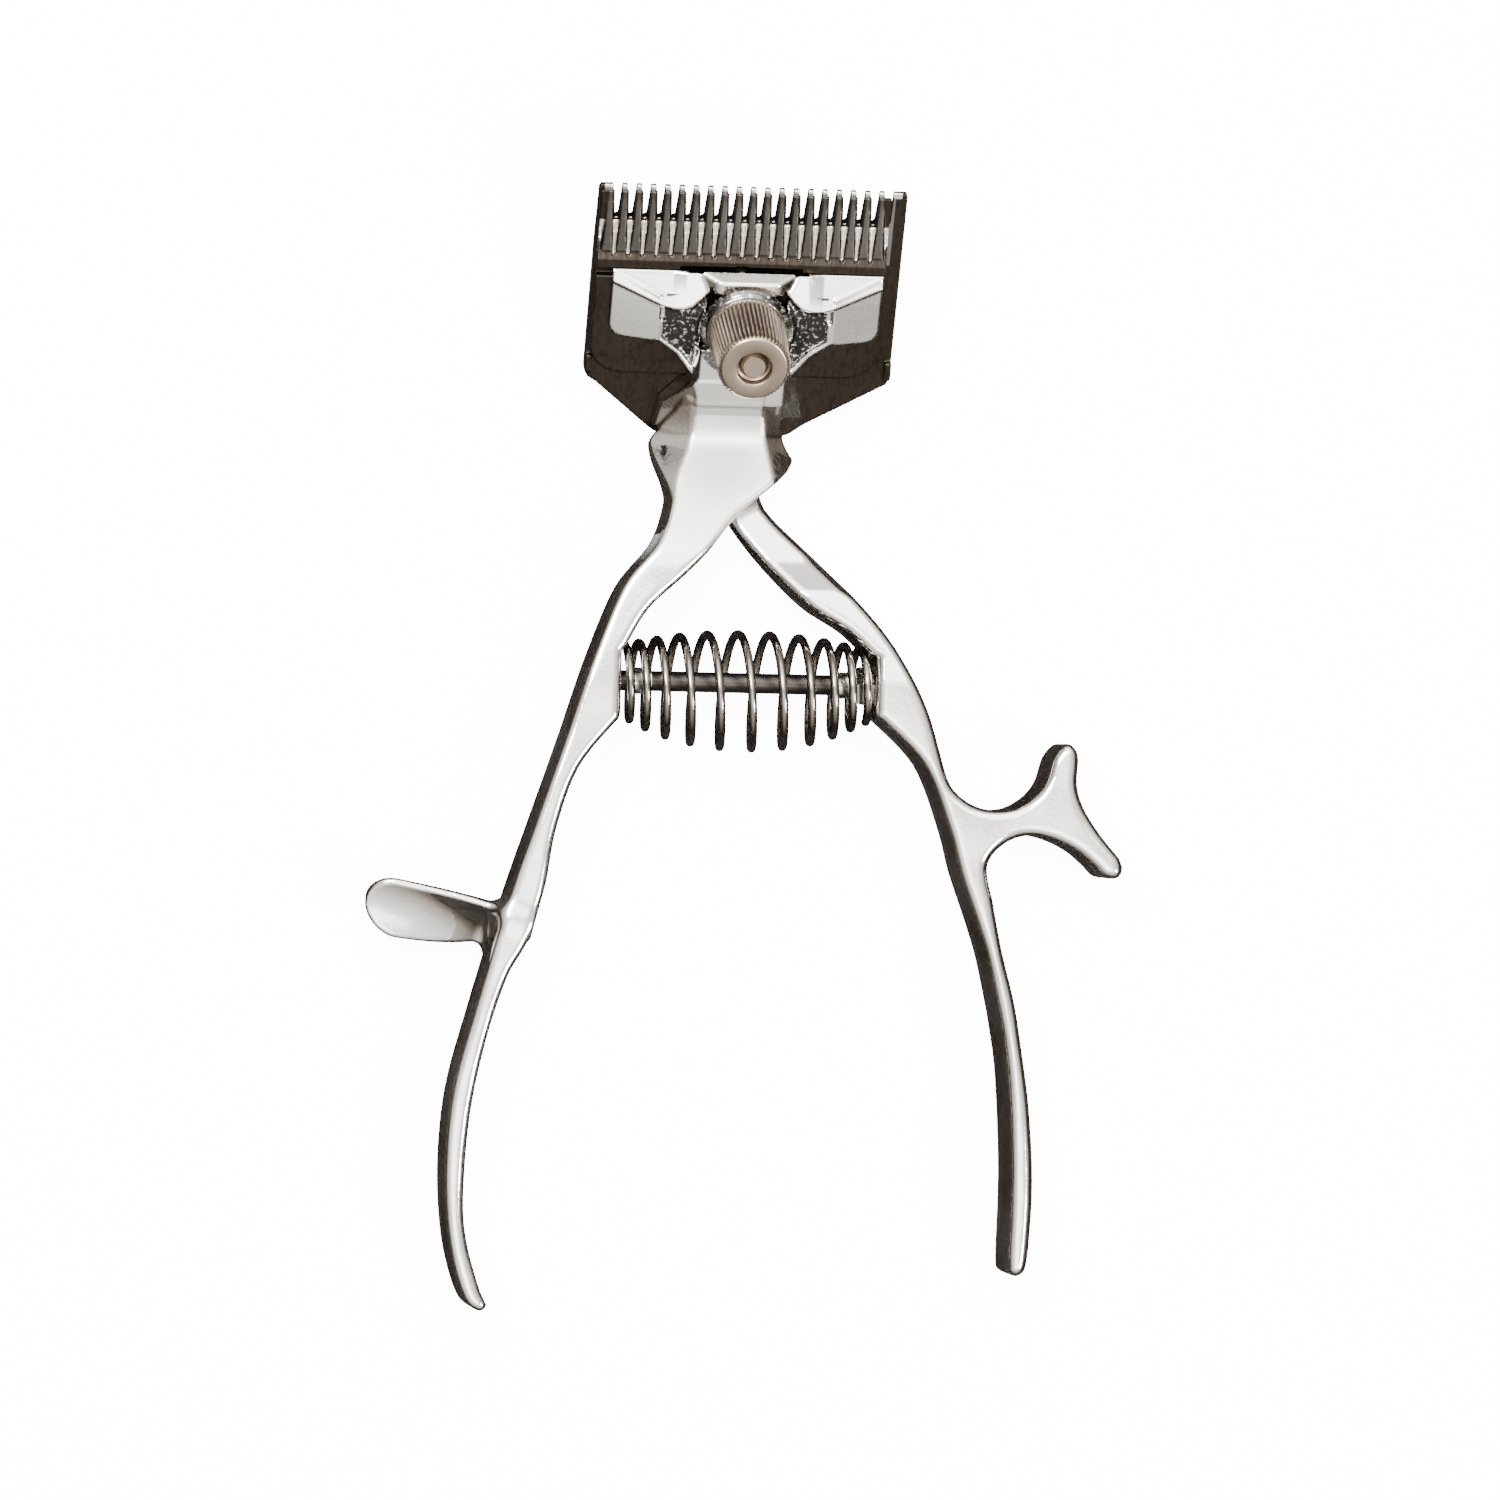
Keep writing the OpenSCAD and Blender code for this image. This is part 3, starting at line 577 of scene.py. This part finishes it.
def cutter_field(lx, hy, hz):
    """The cutter about its own middle, with a toothed bar, a groove behind it and a flat body."""
    u = tooth_offset(lx - PITCH / 2)
    slot = np.hypot(PITCH / 2 - u, np.maximum(10.2 - hy, 0)) - (0.225 + 0.275 * np.clip((hy - 15.5) / 4.5, 0, 1))
    slot = np.where(np.abs(lx) < 20.2, slot, 1.0)
    slot = np.maximum(slot, np.interp(hy, [10.2, 15.2, 15.7], [3.2, 2.95, 2.0]) - hz)
    d = both(outline_distance(CUTTER_PLAN, lx, hy), -slot, 0.06)
    crest = np.interp(hy, [8, 9.5, 10.4, 20], [4.35, 4.3, 3.8, 3.0])
    ridge = np.interp(hy, [10.2, 13, 20], [0.78, 0.5, 0.26])
    flank = (hz - crest + 0.85 * (u - ridge)) * 0.76
    bar = both(both(d, hz - crest, 0.08), np.where(hy > 10.6, flank, -1.0), 0.05)
    bar = np.maximum(bar, np.where(np.abs(lx) < 9, 8.8, 8.1) - hy)
    body = np.maximum(both(d, hz - 4.4, 0.12), hy - 6.9)
    groove = both(d, hz - 3.1, 0.08)
    d = np.maximum(np.minimum(np.minimum(bar, body), groove), 2.45 - hz)
    stud_hole = np.maximum(np.abs(lx) - 3.8, np.abs(hy) - 2.5)
    pin_hole = np.maximum(np.abs(lx) - 0.75, np.abs(hy - 7.9) - 1.05)
    return np.maximum(d, -np.minimum(stud_hole, pin_hole))


verts, quads = surface_net(
    comb_field, steps(-23.2, 0.15, 23.2), steps(-20.2, 0.3, 8, 0.17, 21.2), steps(-0.4, 0.17, 3.6))
comb = mesh_object("comb", from_head(verts), quads)
dress(comb, BLADE)
hx, hy, hz = verts.T
# Near-white tone: on the teeth tips a painted highlight over their worn, polished steel; faintly on the land under
# the cutter a painted reflection
land_painted_reflection = (hz > 2.3) & (hy > 9) & (np.abs(hx) < 21)
tips_wear_and_highlight = (hy > 19.9) & (hz > 0.9) & (np.abs(hx) < 21.9)
tone(comb, 0.15 * land_painted_reflection + 0.85 * tips_wear_and_highlight)
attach(comb, "frame")
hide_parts("comb_plate")

verts, quads = surface_net(
    cutter_field, steps(-21.8, 0.15, 21.8), steps(-9.3, 0.28, 6, 0.16, 20.5), steps(2.1, 0.16, 4.9))
cutter = mesh_object("cutter", from_head(verts + np.array([-PITCH / 2, 0, 0])), quads)
dress(cutter, BLADE)
lx, hy, hz = verts.T
# Near-white tone: painted reflection on the floors of the slots, and a faint painted highlight along the tooth
# crests
crest_half = np.interp(hy, [10.2, 13, 20], [0.7, 0.46, 0.22])
crest_painted_highlight = (tooth_offset(lx - PITCH / 2) < crest_half) & (hy > 10.8) & (hz > 2.9)
slot_painted_reflection = (hy > 10.1) & (hy < 15.4) & (hz > 2.85) & (hz < 3.3)
tone(cutter, np.where(slot_painted_reflection, 0.9, 0.045 * crest_painted_highlight))
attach(cutter, "cutter")
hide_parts("cutter_plate")


# The thumb nut: a slightly conical knurled drum

def turned(name, profile, around, place, flutes, dirt_and_shade):
    """profile: closed loop of (radius, height, flute depth), outside first; the last argument, a function of radius
    and height, adds to the tone, and the flutes' bottoms get tone as painted shade.
    """
    p = np.array(profile, float)
    a = np.linspace(0, 2 * math.pi, around, endpoint=False)
    cut = (0.5 - 0.5 * np.cos(flutes * a)) ** 0.8
    r = p[:, 0, None] - p[:, 2, None] * cut[None]
    pts = np.stack([r * np.cos(a), r * np.sin(a), np.broadcast_to(p[:, 1, None], r.shape)], -1)
    n = len(p)
    i, k = np.meshgrid(np.arange(n), np.arange(around), indexing="ij")
    j, l = (i + 1) % n, (k + 1) % around
    quads = np.stack([i * around + k, i * around + l, j * around + l, j * around + k], -1).reshape(-1, 4)
    o = mesh_object(name, place(pts.reshape(-1, 3)), quads)
    # Tone grows towards the bottom of each flute: painted shade in the knurl grooves; the last argument adds more
    # by radius and height
    tone(o, np.maximum(p[:, 2, None] * cut[None] / 0.4, dirt_and_shade(p[:, :1], p[:, 1:2])).ravel())
    return o


NUT_BASE = 8.3
FLUTES = 53
flank = [(5.77 - 0.42 * k / 8, 0.85 + 9.35 * k / 8, 0.45) for k in range(1, 9)]
nut_profile = [
    (4.55, 0.02, 0), (5.6, 0.02, 0), (5.76, 0.08, 0), (5.8, 0.18, 0), (5.8, 0.34, 0), (5.74, 0.44, 0),
    (5.66, 0.5, 0), (5.74, 0.58, 0.12), (5.77, 0.7, 0.38), (5.77, 0.85, 0.45), *flank,
    (5.33, 10.45, 0.42), (5.26, 10.7, 0.26), (5.06, 10.95, 0.1), (4.86, 11.15, 0), (4.72, 11.26, 0),
    (4.55, 11.3, 0), (2.75, 11.3, 0), (2.62, 11.26, 0), (2.55, 11.16, 0), (2.52, 10.1, 0), (2.48, 10.02, 0),
    (2.12, 10.0, 0), (2.06, 9.94, 0), (2.06, 6.45, 0), (4.45, 6.4, 0), (4.5, 6.3, 0), (4.5, 0.1, 0)]


# A duller, darker end face, and painted shadow in the counterbore round the stud end
def nut_dirt_and_shade(r, h):
    end_face = (h > 11.2) & (r < 4.6)
    counterbore_painted_shadow = (h > 9.9) & (h < 10.2) & (r < 2.6)
    return 0.42 * end_face + 0.3 * counterbore_painted_shadow


nut = turned("knurled_nut", nut_profile, FLUTES * 10, lambda p: from_head(p + np.array([0, 0, NUT_BASE])),
             FLUTES, nut_dirt_and_shade)
dress(nut, NICKEL)
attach(nut, "nut")
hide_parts("thumb_nut")


# The wires

def coil(name, centre, radius, axis, rings, sides=14):
    """Swept wire: centre(t) gives points, the section stays square to the line."""
    path = np.array([centre(t) for t in np.linspace(0, 1, rings)])
    along = np.gradient(path, axis=0)
    along /= np.linalg.norm(along, axis=1)[:, None]
    side = np.cross(along, np.array(axis, float))
    side /= np.linalg.norm(side, axis=1)[:, None]
    up = np.cross(side, along)
    a = np.linspace(0, 2 * math.pi, sides, endpoint=False)
    section = np.cos(a)[None, :, None] * side[:, None] + np.sin(a)[None, :, None] * up[:, None]
    pts = path[:, None] + radius * section
    faces = [(i * sides + k, (i + 1) * sides + k, (i + 1) * sides + (k + 1) % sides, i * sides + (k + 1) % sides)
             for i in range(rings - 1) for k in range(sides)]
    faces += [tuple(range(sides)), tuple((rings - 1) * sides + k for k in range(sides - 1, -1, -1))]
    return mesh_object(name, pts.reshape(-1, 3), faces)


SPRING_TURNS, TENSION_TURNS = 10.5, 4
WIRE_R, TENSION_WIRE_R = 0.65, 0.45
TENSION_R = 3.3


def spring_point(t):
    a = 2 * math.pi * SPRING_TURNS * t
    r = 5.3 + 3.1 * math.sin(math.pi * t) ** 1.3
    x = -16.25 + 36.1 * (t - 0.06 * math.sin(2 * math.pi * t))
    return (PIVOT[0] + x, SPRING_Y - 1.2 * math.sin(math.pi * t) + r * math.cos(a), SPRING_Z + r * math.sin(a))


def tension_point(t):
    a = 2 * math.pi * TENSION_TURNS * t
    low, high = 8.97, 13.71
    return from_head(np.array([TENSION_R * math.cos(a), TENSION_R * math.sin(a), low + (high - low) * t]))


spring = coil("barrel_spring", spring_point, WIRE_R, (1, 0, 0), 640)
dress(spring, SPRING_STEEL)
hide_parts("return_spring")
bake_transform(spring)

tension = coil("nut_spring", tension_point, TENSION_WIRE_R, (0, -SIN, COS), 160, 10)
dress(tension, SPRING_STEEL)
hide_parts("tension_spring")
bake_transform(tension)


# Set: pale floor, soft light, long lens

def floor():
    bpy.ops.mesh.primitive_plane_add(size=6, location=(0, 0, 0))
    o = bpy.context.object
    o.name = "floor"
    m, tree, shader = new_material("pale floor")
    n, link = tree.nodes.new, tree.links.new
    shader.inputs["Base Color"].default_value = (0.95, 0.95, 0.95, 1)
    shader.inputs["Roughness"].default_value = 0.9
    shader.inputs["Emission Color"].default_value = (1, 1, 1, 1)
    shader.inputs["Emission Strength"].default_value = 11
    path = n("ShaderNodeLightPath")
    dark = n("ShaderNodeBsdfDiffuse")
    dark.inputs["Color"].default_value = (0.007, 0.0052, 0.004, 1)
    mix = n("ShaderNodeMixShader")
    link(path.outputs["Is Glossy Ray"], mix.inputs[0])
    link(shader.outputs[0], mix.inputs[1])
    link(dark.outputs[0], mix.inputs[2])
    link(mix.outputs[0], tree.nodes["Material Output"].inputs["Surface"])
    o.data.materials.append(m)


def area(name, place, size, power):
    """A square lamp that looks at the middle of the table."""
    light = bpy.data.lights.new(name, "AREA")
    light.size = size
    light.energy = power
    o = bpy.data.objects.new(name, light)
    o.location = place
    o.rotation_euler = (-Vector(place)).to_track_quat("-Z", "Y").to_euler()
    bpy.context.scene.collection.objects.link(o)


def sky():
    """Dark low down, light overhead, and lighter towards the teeth than towards the handles."""
    world = bpy.data.worlds.new("studio")
    bpy.context.scene.world = world
    world.use_nodes = True
    tree = world.node_tree
    tree.nodes.clear()
    new, link = tree.nodes.new, tree.links.new
    out = new("ShaderNodeOutputWorld")
    background = new("ShaderNodeBackground")
    split = new("ShaderNodeSeparateXYZ")
    link(new("ShaderNodeTexCoord").outputs["Generated"], split.inputs[0])

    def work(operation, *values):
        made = new("ShaderNodeMath")
        made.operation = operation
        for socket, value in zip(made.inputs, values):
            if isinstance(value, bpy.types.NodeSocket):
                link(value, socket)
            else:
                socket.default_value = value
        return made.outputs[0]

    sideways = work("MULTIPLY", work("ABSOLUTE", split.outputs["Y"]), 0.3)
    ahead = work("MULTIPLY", work("MAXIMUM", split.outputs["Y"], 0), 0.3)
    height = work("ADD", work("ADD", split.outputs["Z"], sideways), ahead)
    colors = new("ShaderNodeValToRGB")
    link(work("MULTIPLY", height, 0.9), colors.inputs["Fac"])
    stops = [
        (0.0, (0.0025, 0.0018, 0.0013)), (0.2, (0.008, 0.006, 0.0045)), (0.34, (0.035, 0.029, 0.023)),
        (0.5, (0.1, 0.092, 0.083)), (0.68, (0.17, 0.165, 0.155)), (0.86, (0.3, 0.295, 0.285)),
        (0.895, (0.42, 0.415, 0.41)), (0.93, (1, 1, 1))]
    ramp = colors.color_ramp
    while len(ramp.elements) < len(stops):
        ramp.elements.new(0.5)
    for element, (at, color) in zip(ramp.elements, stops):
        element.position = at
        element.color = (*color, 1)
    link(colors.outputs["Color"], background.inputs["Color"])
    background.inputs["Strength"].default_value = 6
    link(background.outputs[0], out.inputs["Surface"])


def camera():
    """A long lens that looks nearly straight down."""
    data = bpy.data.cameras.new("camera")
    data.lens = 200
    data.sensor_width = 36
    o = bpy.data.objects.new("camera", data)
    bpy.context.scene.collection.objects.link(o)
    back = Vector((-0.132, -0.003, 0.991)).normalized()
    up = Vector((-0.023, 0.9995, 0)).normalized()
    right = up.cross(back).normalized()
    up = back.cross(right)
    target = Vector((0.0004, 0, 0.010))
    distance = 1.2255
    m = Matrix((right, up, back)).transposed().to_4x4()
    m.translation = target + back * distance
    o.matrix_world = m
    bpy.context.scene.camera = o


floor()
area("key", (-0.25, 0.25, 0.75), 0.3, 16)
area("fill", (0.5, -0.3, 0.6), 0.25, 8)
sky()
camera()

bpy.context.view_layer.update()
